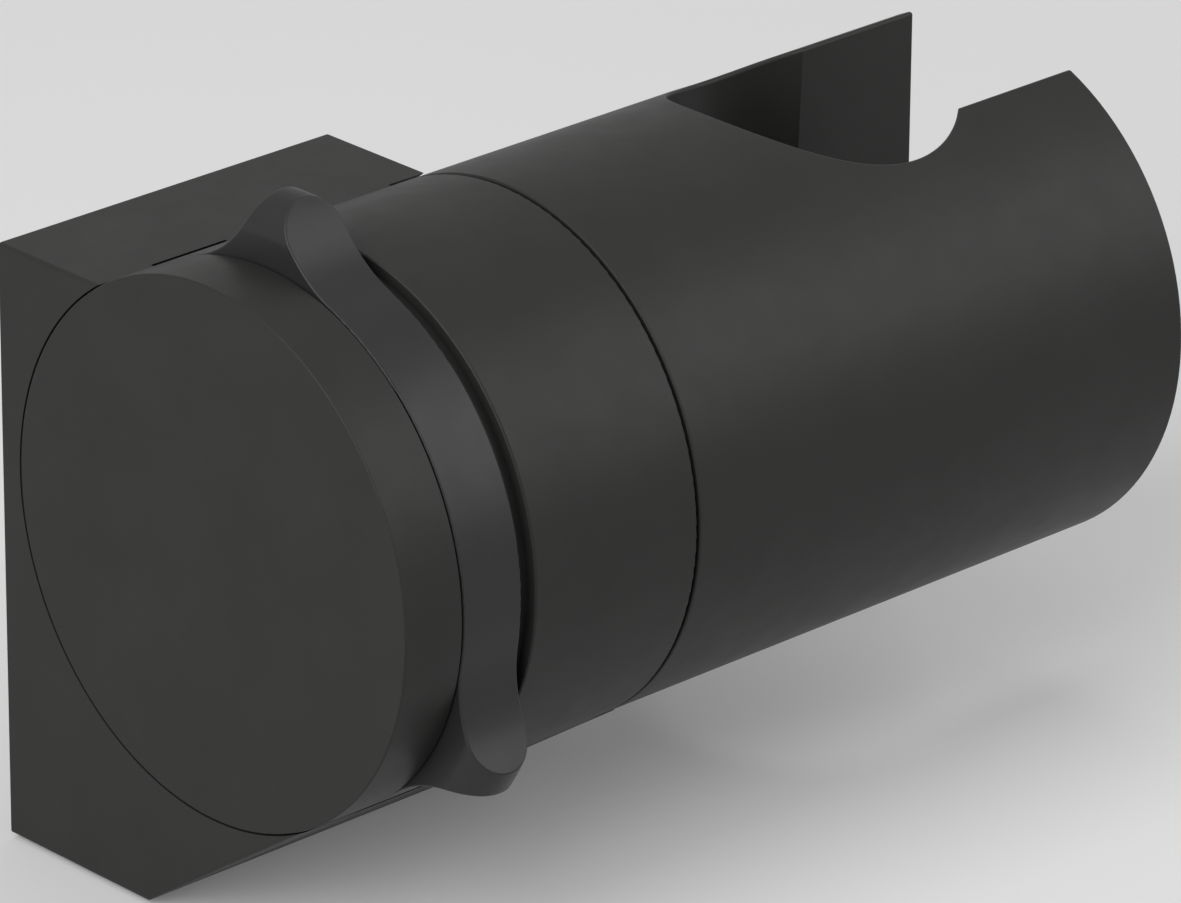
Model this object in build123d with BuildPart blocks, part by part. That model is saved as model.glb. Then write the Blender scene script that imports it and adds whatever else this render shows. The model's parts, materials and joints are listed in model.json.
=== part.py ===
from build123d import *
import math
import os

os.makedirs("parts", exist_ok=True)

# Hand shower holder for a wall, in millimetres. X runs along the cylinder to the right, Y points
# into the wall and Z up. The origin is the middle of the back face, on the wall.
# Distances "from the left" are measured along the cylinder from its left end face.

# Cylinder
radius = 21.0
cap_band = 5.4
ring_width = 5.6
gap_width = 1.2
collar_width = 16.0
barrel_length = 51.1
edge_round = 0.25
seam_round = 0.15

# Wall block
block_width = 32.4
axis_reach = 23.0
block_top = 17.4
block_bottom = 30.4
block_nose = 7.4
block_round = 0.3

# Running and seat clearances
side_gap = 0.2
barrel_gap = 0.3
cradle_gap = 0.3
cap_gap = 0.1
run_gap = 0.06
slip_gap = 0.05
thrust_gap = 0.1

# Grip ring: the lobes' sides would meet at lobe_rise, and their round crown ends at crown_rise
ring_wall = 4.0
crown_rise = 4.9
lobe_rise = 5.9
lobe_tip_round = 1.2
lobe_root_round = 10.0
lobe_angles = (90, 210)
ring_travel = 14

# Neck, its cavity and the end cap
neck_wall = 3.6
shoulder_step = 3.0
cap_face = 1.7
cap_floor_gap = 0.1
cavity_depth = 13.6
seal_section = 0.7
cap_seal_place = 3.5

# Spindle and what it clamps
spindle_radius = 5.0
spindle_start = 4.0
head_radius = 8.0
head_height = 3.0
socket_flats = 6.0
socket_depth = 2.2
washer_thickness = 1.0
washer_bore_gap = 0.3
head_recess_radius = 8.4
plug_gap = 0.05
key_side = 3.0
key_length = 8.0
key_place = 18.0
keyway_floor = 3.2
nut_width = 5.0
nut_side_gap = 0.5
nut_bore_gap = 0.05
spring_inset = 2.3
spring_thickness = 0.8
spring_rise = 0.6

# Drive keys between grip ring and clamp nut
drive_angles = (150, 330)
drive_width = 4.0
drive_length = 3.0
drive_hold = 2.3
drive_cover = 2.0

# Barrel root
end_wall = 8.0
friction_rim = 1.0
friction_width = 4.4
friction_thickness = 1.3
friction_recess = 0.5
bush_radius = 6.5
stop_inset = 6.4
stop_pin_radius = 1.5
stop_pin_depth = 5.0
stop_groove_depth = 4.5
stop_pin_stand = 4.0
stop_angle = 270
barrel_travel = 45
face_seal_inset = 2.5
face_seal_section = 0.75

# Shower seat: tapered bore and hose slot
bore_place = 60.7
bore_top_radius = 11.05
bore_bottom_radius = 9.95
slot_width = 16.6
plug_start = 44.0

# Wall plate, its recess and the set screw
plate_width = 26.6
plate_height = 12.0
plate_thickness = 5.0
plate_drop = 21.2
plate_gap = 0.2
plate_corner = 1.5
wall_hole_spacing = 18.0
wall_hole_radius = 2.2
wall_sink_radius = 4.2
set_screw_radius = 2.0
set_screw_inset = 2.7
set_screw_sunk = 0.6
set_point_radius = 1.3
set_point_length = 1.4
set_socket_flats = 2.0
set_socket_depth = 1.6

# Places worked out from the sizes above
left_end = -block_width / 2
axis_y = -axis_reach
axis_z = (block_bottom - block_top) / 2
main_axis = Axis((left_end, axis_y, axis_z), (1, 0, 0))
ring_start = cap_band + side_gap
ring_end = ring_start + ring_width
collar_start = ring_end + side_gap + gap_width
collar_end = collar_start + collar_width
barrel_start = collar_end + barrel_gap
barrel_end = barrel_start + barrel_length
neck_radius = radius - ring_wall
shoulder_radius = neck_radius + shoulder_step
cavity_radius = neck_radius - neck_wall
neck_start = cap_face + cap_floor_gap
cavity_end = neck_start + cavity_depth
nut_radius = cavity_radius - nut_side_gap
spring_radius = nut_radius - spring_inset
drive_inner = nut_radius - drive_hold
drive_outer = radius - drive_cover
stop_radius = radius - stop_inset
stop_groove_half = stop_pin_radius + barrel_gap
friction_radius = stop_radius - stop_groove_half - friction_rim
friction_bore = friction_radius - friction_width
face_seal_radius = radius - face_seal_inset
overshoot = 1.0


def across(distance):
    """Plane square to the cylinder, so far from the left: local x to the wall, local y up."""
    return Plane(origin=(left_end + distance, axis_y, axis_z), x_dir=(0, 1, 0), z_dir=(1, 0, 0))


def polar(distance, angle):
    """Point in a plane across the cylinder, with angle 0 towards the wall and 90 up."""
    turn = math.radians(angle)
    return (distance * math.cos(turn), distance * math.sin(turn))


def sector(inner, outer, middle, half):
    """Part of a flat ring that reaches so many degrees to each side of the middle angle."""
    with BuildSketch(Plane.XY) as ring_part:
        with BuildLine():
            Line(polar(inner, middle - half), polar(outer, middle - half))
            CenterArc((0, 0), outer, middle - half, 2 * half)
            Line(polar(outer, middle + half), polar(inner, middle + half))
            CenterArc((0, 0), inner, middle + half, -2 * half)
        make_face()
    return ring_part.sketch_local


# The section through the axis: local x along the cylinder, local y up from the axis
along = Plane(origin=(left_end, axis_y, axis_z), x_dir=(1, 0, 0), z_dir=(0, -1, 0))

# Sloping underside of the block: it leaves the cylinder at a tangent and ends at the nose
nose_distance = math.hypot(block_nose, block_bottom)
nose_angle = math.degrees(math.atan2(-block_bottom, block_nose))
slope_angle = nose_angle - math.degrees(math.acos(radius / nose_distance))
block_outline = [
    (axis_reach, block_top),
    (0, block_top),
    polar(radius, slope_angle),
    (block_nose, -block_bottom),
    (axis_reach, -block_bottom),
]
plate_z = axis_z - plate_drop
set_screw_z = axis_z - block_bottom
plate_bottom = plate_z - plate_height / 2

# Bracket housing: wall block, neck and collar cast in one
with BuildPart() as bracket_housing:
    with BuildSketch(across(0)):
        Polygon(*block_outline, align=None)
    extrude(amount=block_width)
    outer_faces = faces().sort_by(Axis.X)
    outer_edges = (outer_faces[0].edges() + outer_faces[-1].edges()).filter_by_position(
        Axis.Y, -2 * axis_reach, -overshoot
    )
    fillet(outer_edges.filter_by(lambda e: abs(e.center().Y) > overshoot), radius=block_round)
    # room for the cap, the ring and the root of the barrel
    with BuildSketch(across(0)):
        Circle(radius + cap_gap)
    extrude(amount=cap_band, mode=Mode.SUBTRACT)
    with BuildSketch(across(cap_band)):
        Circle(radius + cradle_gap)
    extrude(amount=collar_start - cap_band, mode=Mode.SUBTRACT)
    with BuildSketch(across(collar_end)):
        Circle(radius + cradle_gap)
    extrude(amount=block_width - collar_end, mode=Mode.SUBTRACT)
    # collar, shoulder and neck
    with BuildSketch(across(collar_start)):
        Circle(radius)
    extrude(amount=collar_width)
    with BuildSketch(across(ring_end + side_gap)):
        Circle(shoulder_radius)
    extrude(amount=gap_width)
    with BuildSketch(across(neck_start)):
        Circle(neck_radius)
    extrude(amount=ring_end + side_gap - neck_start)
    collar_skin = faces().filter_by(GeomType.CYLINDER).sort_by(SortBy.AREA)[-1]
    fillet(collar_skin.edges().filter_by(GeomType.CIRCLE), radius=seam_round)
    # cavity, spindle bore and keyway
    with BuildSketch(across(neck_start)):
        Circle(cavity_radius)
    extrude(amount=cavity_depth, mode=Mode.SUBTRACT)
    with BuildSketch(across(cavity_end)):
        Circle(spindle_radius + run_gap)
    extrude(amount=collar_end - cavity_end, mode=Mode.SUBTRACT)
    with BuildSketch(across(cavity_end)):
        with Locations(polar(keyway_floor + key_side / 2 + slip_gap, stop_angle)):
            Rectangle(key_side + 2 * slip_gap, key_side + 2 * slip_gap)
    extrude(amount=key_place + key_length + slip_gap - cavity_end, mode=Mode.SUBTRACT)
    # groove of the cap's O-ring
    with BuildSketch(across(cap_seal_place - seal_section - slip_gap)):
        Circle(neck_radius + overshoot)
        Circle(neck_radius + slip_gap - 2 * seal_section, mode=Mode.SUBTRACT)
    extrude(amount=2 * (seal_section + slip_gap), mode=Mode.SUBTRACT)
    # windows for the drive keys, as long as the ring's travel
    window_half = ring_travel + math.degrees((drive_width / 2 + slip_gap) / cavity_radius)
    for angle in drive_angles:
        with BuildSketch(across(ring_start + (ring_width - drive_length) / 2 - slip_gap)):
            add(sector(cavity_radius - overshoot, neck_radius + overshoot, angle, window_half))
        extrude(amount=drive_length + 2 * slip_gap, mode=Mode.SUBTRACT)
    # right face: recess of the friction disc and arc groove of the stop pin
    with BuildSketch(across(collar_end - friction_recess)):
        Circle(friction_radius + slip_gap)
    extrude(amount=friction_recess, mode=Mode.SUBTRACT)
    groove_inner = stop_radius - stop_groove_half
    groove_outer = stop_radius + stop_groove_half
    with BuildSketch(across(collar_end - stop_groove_depth)):
        add(sector(groove_inner, groove_outer, stop_angle, barrel_travel))
        with Locations(
            polar(stop_radius, stop_angle - barrel_travel),
            polar(stop_radius, stop_angle + barrel_travel),
        ):
            Circle(stop_groove_half)
    extrude(amount=stop_groove_depth, mode=Mode.SUBTRACT)
    # recess of the wall plate, with the set screw's hole below it
    with BuildSketch(Plane.XZ):
        with Locations((0, plate_z)):
            RectangleRounded(
                plate_width + 2 * plate_gap, plate_height + 2 * plate_gap, plate_corner + plate_gap
            )
    extrude(amount=plate_thickness + plate_gap, mode=Mode.SUBTRACT)
    with BuildSketch(Plane.XY.offset(set_screw_z)):
        with Locations((0, -set_screw_inset)):
            Circle(set_screw_radius + slip_gap)
    extrude(amount=plate_bottom - set_screw_z, mode=Mode.SUBTRACT)

# Wall plate, flush with the back face, with two countersunk holes and a dimple for the set screw
with BuildPart() as wall_plate:
    with BuildSketch(Plane.XZ):
        with Locations((0, plate_z)):
            RectangleRounded(plate_width, plate_height, plate_corner)
    extrude(amount=plate_thickness)
    for side in (-1, 1):
        hole_plane = Plane(
            origin=(side * wall_hole_spacing / 2, -plate_thickness, plate_z), z_dir=(0, -1, 0)
        )
        with Locations(hole_plane):
            CounterSinkHole(wall_hole_radius, wall_sink_radius, depth=plate_thickness)
    with BuildSketch(Plane.XY.offset(plate_bottom)):
        with Locations((0, -set_screw_inset)):
            Circle(set_point_radius + slip_gap)
    extrude(amount=set_point_length + slip_gap, mode=Mode.SUBTRACT)

# Set screw with a dog point and a hexagon socket, from below
with BuildPart() as set_screw:
    with BuildSketch(Plane.XY.offset(set_screw_z + set_screw_sunk)):
        with Locations((0, -set_screw_inset)):
            Circle(set_screw_radius)
    extrude(amount=plate_bottom - plate_gap - set_screw_z - set_screw_sunk)
    with BuildSketch(Plane.XY.offset(plate_bottom - plate_gap)):
        with Locations((0, -set_screw_inset)):
            Circle(set_point_radius)
    extrude(amount=plate_gap + set_point_length)
    with BuildSketch(Plane.XY.offset(set_screw_z + set_screw_sunk)):
        with Locations((0, -set_screw_inset)):
            RegularPolygon(set_socket_flats / 2, 6, major_radius=False)
    extrude(amount=set_socket_depth, mode=Mode.SUBTRACT)

# End cap: disc with a band that slips over the neck
with BuildPart() as end_cap:
    with BuildSketch(across(0)):
        Circle(radius)
    extrude(amount=cap_band)
    fillet(edges().group_by(Axis.X)[0], radius=seam_round)
    with BuildSketch(across(cap_face)):
        Circle(neck_radius + slip_gap)
    extrude(amount=cap_band - cap_face, mode=Mode.SUBTRACT)

# O-ring that holds the cap on the neck
with BuildPart() as cap_o_ring:
    with BuildSketch(along):
        with Locations((cap_seal_place, neck_radius + slip_gap - seal_section)):
            Circle(seal_section)
    revolve(axis=main_axis)

# Grip ring: seen from the side, each lobe is a tip arc with a hollow arc on each side that
# runs out on the ring. Seen from the front, its crown is a full round as wide as the ring.
crown_radius = radius + crown_rise
lobe_tip = radius + lobe_rise
tip_centre = lobe_tip - lobe_tip_round
hollow_distance = radius + lobe_root_round
hollow_along = (
    hollow_distance**2 - (lobe_tip_round + lobe_root_round) ** 2 + tip_centre**2
) / (2 * tip_centre)
hollow_turn = math.degrees(math.acos(hollow_along / hollow_distance))


def toward(start, end, distance):
    """Point that lies so far from start on the line to end."""
    step = Vector(*end) - Vector(*start)
    point = Vector(*start) + step.normalized() * distance
    return (point.X, point.Y)


with BuildPart() as grip_ring:
    with BuildSketch(along):
        with Locations((ring_start, 0)):
            Rectangle(ring_width, crown_radius - ring_width / 2, align=(Align.MIN, Align.MIN))
        with Locations((ring_start + ring_width / 2, crown_radius - ring_width / 2)):
            Circle(ring_width / 2)
    revolve(axis=main_axis)
    with BuildSketch(across(ring_start)):
        with BuildLine():
            for number, angle in enumerate(lobe_angles):
                tip = polar(tip_centre, angle)
                before = polar(hollow_distance, angle - hollow_turn)
                after = polar(hollow_distance, angle + hollow_turn)
                foot_before = polar(radius, angle - hollow_turn)
                foot_after = polar(radius, angle + hollow_turn)
                crest_before = toward(tip, before, lobe_tip_round)
                crest_after = toward(tip, after, lobe_tip_round)
                RadiusArc(foot_before, crest_before, lobe_root_round)
                ThreePointArc(crest_before, polar(lobe_tip, angle), crest_after)
                RadiusArc(crest_after, foot_after, lobe_root_round)
                next_angle = lobe_angles[(number + 1) % len(lobe_angles)]
                span = (next_angle - angle) % 360 - 2 * hollow_turn
                CenterArc((0, 0), radius, angle + hollow_turn, span)
        make_face()
    extrude(amount=ring_width, mode=Mode.INTERSECT)
    fillet(edges(), radius=seam_round)
    with BuildSketch(across(ring_start)):
        Circle(neck_radius + run_gap)
    extrude(amount=ring_width, mode=Mode.SUBTRACT)
    # pockets for the drive keys
    for angle in drive_angles:
        with BuildSketch(across(ring_start + (ring_width - drive_length) / 2 - slip_gap)):
            with Locations(Location((*polar((drive_inner + drive_outer) / 2, angle), 0), angle)):
                Rectangle(drive_outer - drive_inner + 2 * slip_gap, drive_width + 2 * slip_gap)
        extrude(amount=drive_length + 2 * slip_gap, mode=Mode.SUBTRACT)

# Drive keys from the ring through the neck's windows into the clamp nut
with BuildPart() as drive_keys:
    for angle in drive_angles:
        with BuildSketch(across(ring_start + (ring_width - drive_length) / 2)):
            with Locations(Location((*polar((drive_inner + drive_outer) / 2, angle), 0), angle)):
                Rectangle(drive_outer - drive_inner, drive_width)
        extrude(amount=drive_length)

# Clamp nut on the spindle's left end, with a pocket for each drive key
nut_start = ring_start + (ring_width - nut_width) / 2
nut_end = nut_start + nut_width
with BuildPart() as clamp_nut:
    with BuildSketch(across(nut_start)):
        Circle(nut_radius)
        Circle(spindle_radius + nut_bore_gap, mode=Mode.SUBTRACT)
    extrude(amount=nut_width)
    for angle in drive_angles:
        with BuildSketch(across(ring_start + (ring_width - drive_length) / 2 - slip_gap)):
            with Locations(Location((*polar((drive_inner + drive_outer) / 2, angle), 0), angle)):
                Rectangle(drive_outer - drive_inner + 2 * slip_gap, drive_width + 2 * slip_gap)
        extrude(amount=drive_length + 2 * slip_gap, mode=Mode.SUBTRACT)

# Thrust washer between the nut and the springs
thrust_start = nut_end + thrust_gap
spring_start = thrust_start + washer_thickness
with BuildPart() as thrust_washer:
    with BuildSketch(across(thrust_start)):
        Circle(spring_radius)
        Circle(spindle_radius + washer_bore_gap, mode=Mode.SUBTRACT)
    extrude(amount=washer_thickness)


def spring_section(outer_start, inner_start):
    """Corners of a disc spring's slanted section, from its outer to its inner edge."""
    inner_radius = spindle_radius + washer_bore_gap
    return [
        (outer_start, spring_radius),
        (outer_start + spring_thickness, spring_radius),
        (inner_start + spring_thickness, inner_radius),
        (inner_start, inner_radius),
    ]


# Two disc springs that face each other
left_spring_inner = spring_start + slip_gap
left_spring_outer = left_spring_inner + spring_rise
right_spring_outer = left_spring_outer + spring_thickness + slip_gap
right_spring_inner = right_spring_outer + spring_rise
with BuildPart() as disc_spring_left:
    with BuildSketch(along):
        Polygon(*spring_section(left_spring_outer, left_spring_inner), align=None)
    revolve(axis=main_axis)

with BuildPart() as disc_spring_right:
    with BuildSketch(along):
        Polygon(*spring_section(right_spring_outer, right_spring_inner), align=None)
    revolve(axis=main_axis)

# Tie spindle: threaded left end, keyed shank, and a head with a hexagon socket in the barrel
wall_inside = barrel_start + end_wall
head_washer_start = wall_inside + slip_gap
head_start = head_washer_start + washer_thickness + slip_gap
head_end = head_start + head_height
with BuildPart() as tie_spindle:
    with BuildSketch(across(spindle_start)):
        Circle(spindle_radius)
    extrude(amount=head_start - spindle_start)
    chamfer(edges().group_by(Axis.X)[0], length=edge_round)
    with BuildSketch(across(head_start)):
        Circle(head_radius)
    extrude(amount=head_height)
    with BuildSketch(across(head_end - socket_depth)):
        RegularPolygon(socket_flats / 2, 6, major_radius=False)
    extrude(amount=socket_depth, mode=Mode.SUBTRACT)
    with BuildSketch(across(key_place - slip_gap)):
        with Locations(polar(keyway_floor + key_side / 2, stop_angle)):
            Rectangle(key_side + 2 * slip_gap, key_side)
    extrude(amount=key_length + 2 * slip_gap, mode=Mode.SUBTRACT)

# Parallel key that stops the spindle from turning in the housing
with BuildPart() as spindle_key:
    with BuildSketch(across(key_place)):
        with Locations(polar(keyway_floor + key_side / 2, stop_angle)):
            Rectangle(key_side, key_side)
    extrude(amount=key_length)

# Washer between the spindle's head and the barrel's end wall
with BuildPart() as head_washer:
    with BuildSketch(across(head_washer_start)):
        Circle(head_radius)
        Circle(spindle_radius + washer_bore_gap, mode=Mode.SUBTRACT)
    extrude(amount=washer_thickness)

# Friction disc between the collar and the barrel
with BuildPart() as friction_disc:
    with BuildSketch(across(collar_end - friction_recess)):
        Circle(friction_radius)
        Circle(friction_bore, mode=Mode.SUBTRACT)
    extrude(amount=friction_thickness)

# Holder barrel: swivelling barrel with the tapered seat and the hose slot
friction_end = collar_end - friction_recess + friction_thickness
face_seal_centre = barrel_start - barrel_gap + slip_gap + face_seal_section
face_groove_depth = face_seal_centre + face_seal_section + slip_gap - barrel_start
seat_x = left_end + bore_place
with BuildPart() as holder_barrel:
    with BuildSketch(across(barrel_start)):
        Circle(radius)
    extrude(amount=barrel_length)
    # bore of the bush, and room for the spindle's head reached through the slot
    with BuildSketch(across(barrel_start)):
        Circle(bush_radius)
    extrude(amount=end_wall, mode=Mode.SUBTRACT)
    with BuildSketch(across(wall_inside)):
        Circle(head_recess_radius)
    extrude(amount=bore_place - wall_inside, mode=Mode.SUBTRACT)
    # left face: recess of the friction disc, groove of the face seal, hole of the stop pin
    with BuildSketch(across(barrel_start)):
        Circle(friction_radius + run_gap)
    extrude(amount=friction_end + slip_gap - barrel_start, mode=Mode.SUBTRACT)
    with BuildSketch(across(barrel_start)):
        Circle(face_seal_radius + face_seal_section + slip_gap)
        Circle(face_seal_radius - face_seal_section - slip_gap, mode=Mode.SUBTRACT)
    extrude(amount=face_groove_depth, mode=Mode.SUBTRACT)
    with BuildSketch(across(barrel_start)):
        with Locations(polar(stop_radius, stop_angle)):
            Circle(stop_pin_radius)
    extrude(amount=stop_pin_depth, mode=Mode.SUBTRACT)
    # tapered seat, wider at the top, and the slot from it to the right end
    with Locations((seat_x, axis_y, axis_z)):
        Cone(bore_bottom_radius, bore_top_radius, 2 * radius, mode=Mode.SUBTRACT)
    with BuildSketch(Plane.XY.offset(axis_z - radius)):
        with Locations((seat_x, axis_y)):
            Rectangle(
                barrel_end - bore_place + overshoot, slot_width, align=(Align.MIN, Align.CENTER)
            )
    extrude(amount=2 * radius, mode=Mode.SUBTRACT)
    # small rounds on the edges of the outside and of the right end
    barrel_skin = faces().filter_by(GeomType.CYLINDER).sort_by(SortBy.AREA)[-1]
    barrel_rim = barrel_skin.edges().sort_by(Axis.X)[0]
    fillet(barrel_rim, radius=seam_round)
    barrel_skin = faces().filter_by(GeomType.CYLINDER).sort_by(SortBy.AREA)[-1]
    barrel_tips = faces().group_by(Axis.X)[-1]
    fillet(barrel_skin.edges().sort_by(Axis.X)[1:] + barrel_tips.edges(), radius=edge_round)

# Plug that covers the spindle's head and follows the wall of the seat
with BuildPart() as bore_plug:
    with BuildSketch(across(plug_start)):
        Circle(head_recess_radius - plug_gap)
    extrude(amount=bore_place - plug_start)
    with Locations((seat_x, axis_y, axis_z)):
        Cone(bore_bottom_radius, bore_top_radius, 2 * radius, mode=Mode.SUBTRACT)

# Bush in the barrel's end wall
with BuildPart() as barrel_bush:
    with BuildSketch(across(friction_end + slip_gap)):
        Circle(bush_radius)
        Circle(spindle_radius + run_gap, mode=Mode.SUBTRACT)
    extrude(amount=wall_inside - friction_end - slip_gap)

# Stop pin in the barrel's left face
with BuildPart() as stop_pin:
    with BuildSketch(across(barrel_start - stop_pin_stand)):
        with Locations(polar(stop_radius, stop_angle)):
            Circle(stop_pin_radius)
    extrude(amount=stop_pin_stand + stop_pin_depth)

# Face seal between collar and barrel
with BuildPart() as face_seal:
    with BuildSketch(along):
        with Locations((face_seal_centre, face_seal_radius)):
            Circle(face_seal_section)
    revolve(axis=main_axis)

# Names and files
bracket_housing.part.label = "bracket_housing"
export_step(bracket_housing.part, "parts/bracket_housing.step")
wall_plate.part.label = "wall_plate"
export_step(wall_plate.part, "parts/wall_plate.step")
set_screw.part.label = "set_screw"
export_step(set_screw.part, "parts/set_screw.step")
end_cap.part.label = "end_cap"
export_step(end_cap.part, "parts/end_cap.step")
cap_o_ring.part.label = "cap_o_ring"
export_step(cap_o_ring.part, "parts/cap_o_ring.step")
grip_ring.part.label = "grip_ring"
export_step(grip_ring.part, "parts/grip_ring.step")
drive_keys.part.label = "drive_keys"
export_step(drive_keys.part, "parts/drive_keys.step")
clamp_nut.part.label = "clamp_nut"
export_step(clamp_nut.part, "parts/clamp_nut.step")
thrust_washer.part.label = "thrust_washer"
export_step(thrust_washer.part, "parts/thrust_washer.step")
disc_spring_left.part.label = "disc_spring_left"
export_step(disc_spring_left.part, "parts/disc_spring_left.step")
disc_spring_right.part.label = "disc_spring_right"
export_step(disc_spring_right.part, "parts/disc_spring_right.step")
tie_spindle.part.label = "tie_spindle"
export_step(tie_spindle.part, "parts/tie_spindle.step")
spindle_key.part.label = "spindle_key"
export_step(spindle_key.part, "parts/spindle_key.step")
head_washer.part.label = "head_washer"
export_step(head_washer.part, "parts/head_washer.step")
friction_disc.part.label = "friction_disc"
export_step(friction_disc.part, "parts/friction_disc.step")
holder_barrel.part.label = "holder_barrel"
export_step(holder_barrel.part, "parts/holder_barrel.step")
bore_plug.part.label = "bore_plug"
export_step(bore_plug.part, "parts/bore_plug.step")
barrel_bush.part.label = "barrel_bush"
export_step(barrel_bush.part, "parts/barrel_bush.step")
stop_pin.part.label = "stop_pin"
export_step(stop_pin.part, "parts/stop_pin.step")
face_seal.part.label = "face_seal"
export_step(face_seal.part, "parts/face_seal.step")
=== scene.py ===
import json
import math

import bpy
from mathutils import Matrix, Quaternion, Vector


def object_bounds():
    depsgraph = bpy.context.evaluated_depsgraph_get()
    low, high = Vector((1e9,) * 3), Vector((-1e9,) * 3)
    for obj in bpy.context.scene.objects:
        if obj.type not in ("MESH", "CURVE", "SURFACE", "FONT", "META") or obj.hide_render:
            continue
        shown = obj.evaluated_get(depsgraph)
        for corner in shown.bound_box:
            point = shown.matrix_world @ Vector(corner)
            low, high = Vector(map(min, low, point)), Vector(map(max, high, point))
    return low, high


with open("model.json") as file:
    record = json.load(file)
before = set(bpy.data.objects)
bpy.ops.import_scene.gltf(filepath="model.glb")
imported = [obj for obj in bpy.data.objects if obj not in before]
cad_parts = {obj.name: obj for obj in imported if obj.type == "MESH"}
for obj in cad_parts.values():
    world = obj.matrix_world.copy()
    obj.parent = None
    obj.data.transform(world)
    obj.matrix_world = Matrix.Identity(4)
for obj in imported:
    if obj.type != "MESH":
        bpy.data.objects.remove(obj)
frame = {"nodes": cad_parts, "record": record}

# Everything is in metres, in the frame of the CAD model: the wall is the plane y = 0,
# the holder stands out towards -Y, its cylinder runs along X and +Z is up.

cad_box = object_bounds()
nodes = frame["nodes"]
MM = 0.001


# Camera

# The camera looks at the front of the holder from the left and from above. Its place, the
# point that it looks at and its slight roll were fitted to the corners and rims that the
# photograph shows. The lens and the sensor are in millimetres.
camera_place = Vector((-388.46, -453.51, 261.97)) * MM
camera_target = Vector((22.343, -22.258, 3.123)) * MM
camera_roll = math.radians(0.425)
focal_length = 264.19
sensor_width = 36.0
clip_start = 0.05
clip_end = 20.0


def make_camera():
    data = bpy.data.cameras.new("camera")
    data.lens = focal_length
    data.sensor_width = sensor_width
    data.clip_start = clip_start
    data.clip_end = clip_end
    camera = bpy.data.objects.new("camera", data)
    bpy.context.scene.collection.objects.link(camera)
    look = (camera_target - camera_place).to_track_quat("-Z", "Y")
    turn = look @ Quaternion((0, 0, 1), camera_roll)
    camera.matrix_world = Matrix.Translation(camera_place) @ turn.to_matrix().to_4x4()
    bpy.context.scene.camera = camera


# Materials

# Most values of a noise texture lie between these two.
noise_low = 0.3
noise_high = 0.7

# A Mix node has its own sockets for numbers and for colours, under the same names, so
# they are chosen by their place in its lists.
mix_factor = 0
mix_number_a = 2
mix_number_b = 3
mix_colour_a = 6
mix_colour_b = 7
mixed_number = 0
mixed_colour = 2


class Nodes:
    """Adds shader nodes to one new material and joins them up."""

    def __init__(self, name):
        self.material = bpy.data.materials.new(name)
        self.material.use_nodes = True
        self.tree = self.material.node_tree
        self.shader = self.tree.nodes["Principled BSDF"]

    def add(self, kind, **settings):
        node = self.tree.nodes.new(kind)
        for name, value in settings.items():
            setattr(node, name, value)
        return node

    def join(self, output, socket):
        self.tree.links.new(output, socket)

    def noise(self, size, detail, roughness=0.5, stretch=(1, 1, 1)):
        """Noise whose blotches are about this many millimetres across, and longer along
        an axis whose stretch is under 1."""
        place = self.add("ShaderNodeTexCoord").outputs["Object"]
        mapping = self.add("ShaderNodeMapping")
        mapping.inputs["Scale"].default_value = [s / (size * MM) for s in stretch]
        self.join(place, mapping.inputs["Vector"])
        noise = self.add("ShaderNodeTexNoise")
        noise.inputs["Scale"].default_value = 1.0
        noise.inputs["Detail"].default_value = detail
        noise.inputs["Roughness"].default_value = roughness
        self.join(mapping.outputs["Vector"], noise.inputs["Vector"])
        return noise.outputs["Fac"]

    def scaled(self, noise, low, high):
        """The noise, spread so that it runs from about low to about high."""
        spread = self.add("ShaderNodeMapRange")
        spread.inputs["From Min"].default_value = noise_low
        spread.inputs["From Max"].default_value = noise_high
        spread.inputs["To Min"].default_value = low
        spread.inputs["To Max"].default_value = high
        self.join(noise, spread.inputs["Value"])
        return spread.outputs["Result"]

    def blend(self, share, dark, light):
        """The colour that lies this share of the way from dark to light."""
        mix = self.add("ShaderNodeMix", data_type="RGBA")
        mix.inputs[mix_colour_a].default_value = (*dark, 1)
        mix.inputs[mix_colour_b].default_value = (*light, 1)
        self.join(share, mix.inputs[mix_factor])
        return mix.outputs[mixed_colour]

    def bump(self, noise, height, normal=None):
        """Raises the surface by up to this many millimetres, on top of an earlier bump."""
        bump = self.add("ShaderNodeBump")
        bump.inputs["Strength"].default_value = 1.0
        bump.inputs["Distance"].default_value = height * MM
        self.join(noise, bump.inputs["Height"])
        if normal is not None:
            self.join(normal, bump.inputs["Normal"])
        return bump.outputs["Normal"]

    def tint(self, noise, colour, darkest, lightest):
        """Colours the surface. The noise makes the colour this much darker and lighter."""
        dark = [darkest * c for c in colour]
        light = [lightest * c for c in colour]
        tone = self.blend(self.scaled(noise, 0.0, 1.0), dark, light)
        self.join(tone, self.shader.inputs["Base Color"])

    def roughen(self, noise, roughness, change):
        """Sets the surface's roughness. The noise adds or takes up to this change."""
        gloss = self.scaled(noise, roughness - change, roughness + change)
        self.join(gloss, self.shader.inputs["Roughness"])


def powder_coat(name, colour, roughness, specular):
    """Satin black powder coat: a fine grain, a faint orange peel and a slightly uneven gloss."""
    tone_size = 6.0
    gloss_size = 2.5
    peel_size, peel_height = 1.1, 0.006
    grain_size, grain_height = 0.16, 0.0022
    n = Nodes(name)
    n.tint(n.noise(tone_size, detail=3.0), colour, darkest=0.93, lightest=1.07)
    n.roughen(n.noise(gloss_size, detail=4.0), roughness, change=0.025)
    peel = n.bump(n.noise(peel_size, detail=2.0), peel_height)
    grain = n.bump(n.noise(grain_size, detail=2.0), grain_height, peel)
    n.join(grain, n.shader.inputs["Normal"])
    n.shader.inputs["Specular IOR Level"].default_value = specular
    return n.material


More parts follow.
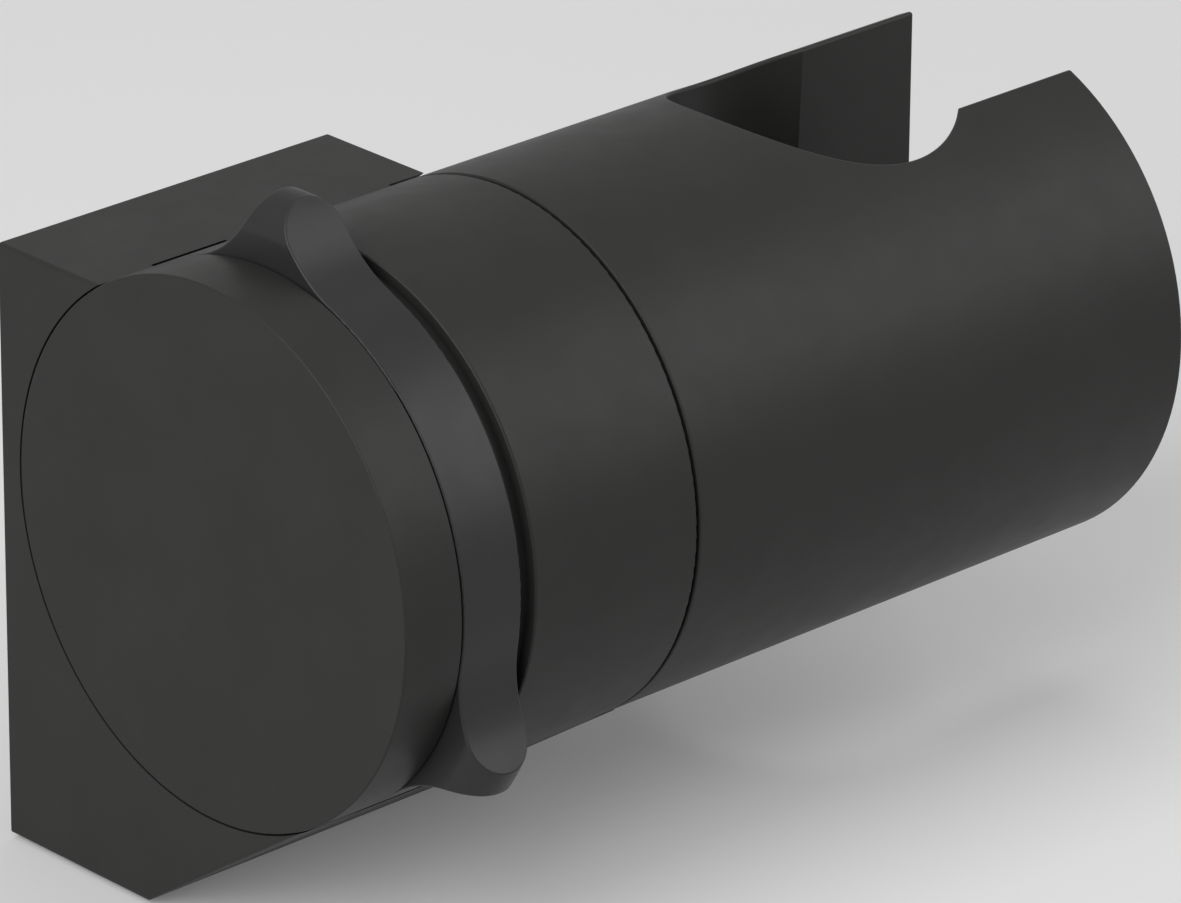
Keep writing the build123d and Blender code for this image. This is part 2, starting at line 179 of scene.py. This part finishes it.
def plastic(name, colour, roughness):
    """Moulded plastic or rubber with a fine spark-eroded texture."""
    tone_size = 4.0
    gloss_size = 1.5
    texture_size, texture_height = 0.22, 0.008
    n = Nodes(name)
    n.tint(n.noise(tone_size, detail=3.0), colour, darkest=0.9, lightest=1.1)
    n.roughen(n.noise(gloss_size, detail=3.0), roughness, change=0.05)
    texture = n.bump(n.noise(texture_size, detail=3.0, roughness=0.6), texture_height)
    n.join(texture, n.shader.inputs["Normal"])
    return n.material


def turned_metal(name, colour, roughness, stretch):
    """Machined metal: fine tool marks, drawn out along the direction of cutting."""
    mark_size, mark_height = 0.35, 0.006
    n = Nodes(name)
    marks = n.noise(mark_size, detail=4.0, roughness=0.6, stretch=stretch)
    n.tint(marks, colour, darkest=0.82, lightest=1.0)
    n.roughen(marks, roughness, change=0.08)
    n.join(n.bump(marks, mark_height), n.shader.inputs["Normal"])
    n.shader.inputs["Metallic"].default_value = 1.0
    return n.material


# Tool marks run round what is turned about X, and along X on the wall plate.
round_bar = (1.0, 0.15, 0.15)
along_plate = (0.06, 1.0, 1.0)

# The finish of each material slot. The grip ring is a shade cooler and glossier than the
# castings.
finishes = {
    "black_casting": powder_coat("black_casting", (0.024, 0.024, 0.023), 0.45, 0.2),
    "black_ring": powder_coat("black_ring", (0.021, 0.021, 0.0213), 0.40, 0.29),
    "black_plastic": plastic("black_plastic", (0.040, 0.040, 0.040), 0.55),
    "bare_steel": turned_metal("bare_steel", (0.56, 0.56, 0.57), 0.32, round_bar),
    "black_steel": turned_metal("black_steel", (0.07, 0.07, 0.075), 0.40, round_bar),
    "spring_steel": turned_metal("spring_steel", (0.36, 0.36, 0.39), 0.30, round_bar),
    "brass_nut": turned_metal("brass_nut", (0.72, 0.56, 0.27), 0.28, round_bar),
    "friction_plastic": plastic("friction_plastic", (0.74, 0.72, 0.65), 0.50),
    "rubber_seal": plastic("rubber_seal", (0.022, 0.022, 0.022), 0.75),
}

# These pieces take another finish than their slot's.
special_finishes = {
    "wall_plate": turned_metal("plate_steel", (0.56, 0.56, 0.57), 0.34, along_plate),
}


def dress_nodes():
    slots = {part["node"]: part["material_slot"] for part in frame["record"]["subparts"]}
    for name, node in nodes.items():
        node.data.materials.clear()
        node.data.materials.append(special_finishes.get(name, finishes[slots[name]]))


# Floor, world and lamps

# The floor lies this many millimetres below the holder, and is twice this many metres wide.
floor_gap = 0.4
floor_half = 2.5

# To the camera and in reflections the floor and the world are pale. To the light that
# falls on the object they are darker, so that the underside of a black part stays black.
floor_seen = (0.74, 0.74, 0.74)
floor_bounce = (0.25, 0.25, 0.25)
floor_glow = 0.08
world_seen = 0.55
world_light = 0.2
white = (1, 1, 1, 1)

# Each lamp is a square that faces the middle of the holder from this direction. Its
# distance and size are in metres and its power is in watts.
lamps = {
    "overhead": dict(direction=(0.0, 0.0, 1.0), distance=1.3, size=0.9, power=3.0),
    "front": dict(direction=(0.63, -0.60, 0.49), distance=1.1, size=0.8, power=4.4),
    "left": dict(direction=(-0.84, -0.18, 0.51), distance=1.2, size=1.1, power=14.0),
}


def seen_rays(tree):
    """1 for what the camera, a reflection or glass shows, 0 for light on its way to a surface."""
    rays = tree.nodes.new("ShaderNodeLightPath").outputs
    seen = rays["Is Camera Ray"]
    for name in ("Is Glossy Ray", "Is Transmission Ray"):
        either = tree.nodes.new("ShaderNodeMath")
        either.operation = "MAXIMUM"
        tree.links.new(seen, either.inputs[0])
        tree.links.new(rays[name], either.inputs[1])
        seen = either.outputs[0]
    return seen


def floor_material():
    """Matt and pale, with a faint glow that only the camera and reflections see."""
    n = Nodes("pale_floor")
    seen = seen_rays(n.tree)
    n.join(n.blend(seen, floor_bounce, floor_seen), n.shader.inputs["Base Color"])
    glow = n.add("ShaderNodeMath", operation="MULTIPLY")
    n.join(seen, glow.inputs[0])
    glow.inputs[1].default_value = floor_glow
    n.join(glow.outputs[0], n.shader.inputs["Emission Strength"])
    n.shader.inputs["Emission Color"].default_value = white
    n.shader.inputs["Roughness"].default_value = 1.0
    n.shader.inputs["Specular IOR Level"].default_value = 0.0
    return n.material


def make_floor():
    height = cad_box[0].z - floor_gap * MM
    signs = ((-1, -1), (1, -1), (1, 1), (-1, 1))
    corners = [(floor_half * x, floor_half * y, height) for x, y in signs]
    mesh = bpy.data.meshes.new("floor")
    mesh.from_pydata(corners, [], [(0, 1, 2, 3)])
    mesh.materials.append(floor_material())
    floor = bpy.data.objects.new("floor", mesh)
    bpy.context.scene.collection.objects.link(floor)


def make_lamp(name, direction, distance, size, power):
    data = bpy.data.lights.new(name, "AREA")
    data.shape = "SQUARE"
    data.size = size
    data.energy = power
    lamp = bpy.data.objects.new(name, data)
    bpy.context.scene.collection.objects.link(lamp)
    middle = (cad_box[0] + cad_box[1]) / 2
    lamp.location = middle + distance * Vector(direction).normalized()
    lamp.rotation_mode = "QUATERNION"
    lamp.rotation_quaternion = Vector(direction).to_track_quat("Z", "Y")


def make_world():
    world = bpy.data.worlds.new("world")
    world.use_nodes = True
    tree = world.node_tree
    strength = tree.nodes.new("ShaderNodeMix")
    strength.inputs[mix_number_a].default_value = world_light
    strength.inputs[mix_number_b].default_value = world_seen
    tree.links.new(seen_rays(tree), strength.inputs[mix_factor])
    background = tree.nodes["Background"]
    tree.links.new(strength.outputs[mixed_number], background.inputs["Strength"])
    background.inputs["Color"].default_value = white
    bpy.context.scene.world = world


make_camera()
dress_nodes()
make_floor()
for name, settings in lamps.items():
    make_lamp(name, **settings)
make_world()
bpy.context.scene.view_settings.view_transform = "Standard"
